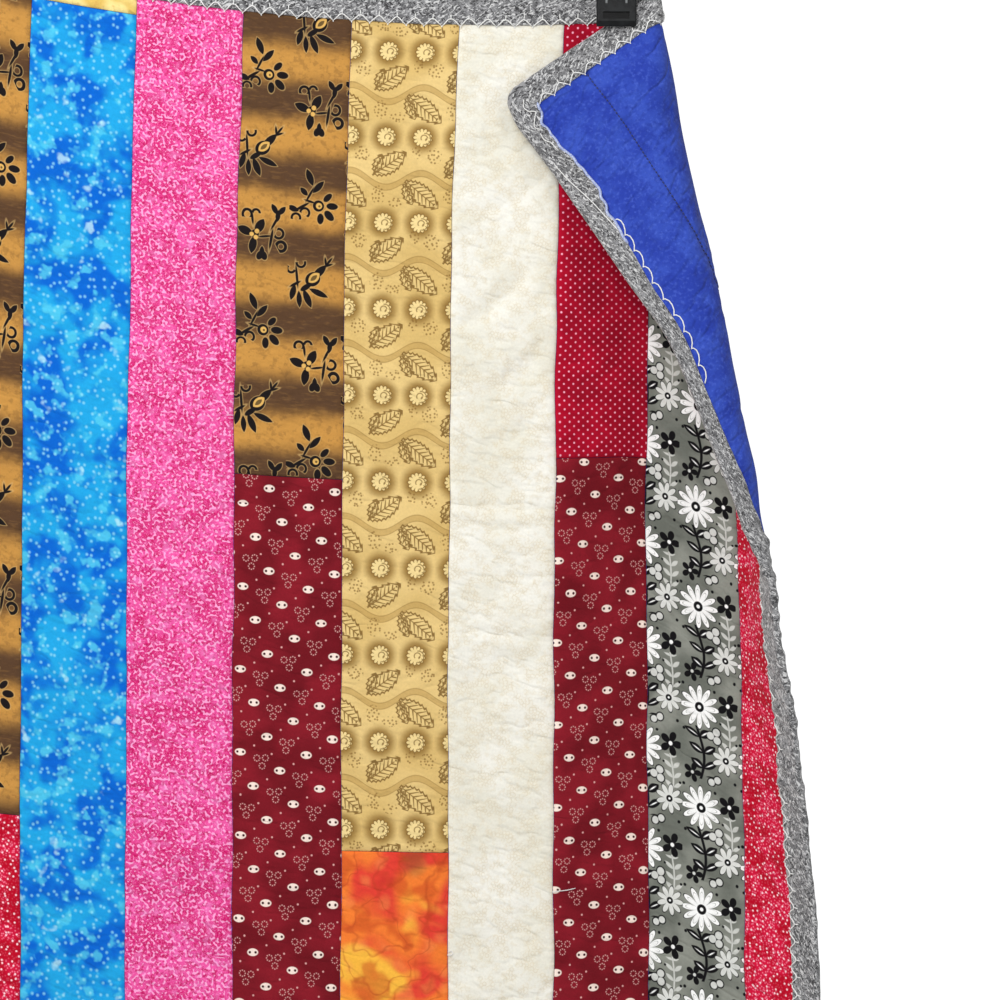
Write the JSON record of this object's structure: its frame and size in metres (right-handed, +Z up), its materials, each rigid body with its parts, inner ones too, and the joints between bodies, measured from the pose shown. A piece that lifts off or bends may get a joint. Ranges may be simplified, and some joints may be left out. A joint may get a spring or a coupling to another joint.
{
  "type": "patchwork quilt and hanger clips",
  "caption": "Patchwork quilt of vertical cloth strips with a flannel binding, hung from hanger clips with its top corner folded forward.",
  "frame": {"origin": "top of the middle hanger clip, which is what the quilt hangs from", "axes": "+Z up along the quilt's length, -Y out of its patchwork face, +X to the right as the face is seen"},
  "size_m": [1.2503, 0.0867, 1.5575],
  "materials": {
    "patchwork": "printed quilting cottons, soft and matte",
    "backing": "mottled royal-blue cotton, matte",
    "binding": "grey heather brushed flannel",
    "stitching": "white machine-embroidery thread",
    "clip_plastic": "moulded black plastic, slight sheen",
    "clip_steel": "spring steel"
  },
  "bodies": {
    "root": {"patchwork_top": "patchwork", "backing": "backing", "binding": "binding", "clip_front_left": "clip_plastic", "clip_front_middle": "clip_plastic", "clip_front_right": "clip_plastic", "clip_back_left": "clip_plastic", "clip_back_middle": "clip_plastic", "clip_back_right": "clip_plastic", "clip_spring_left": "clip_steel", "clip_spring_middle": "clip_steel", "clip_spring_right": "clip_steel"}
  },
  "joints": []
}
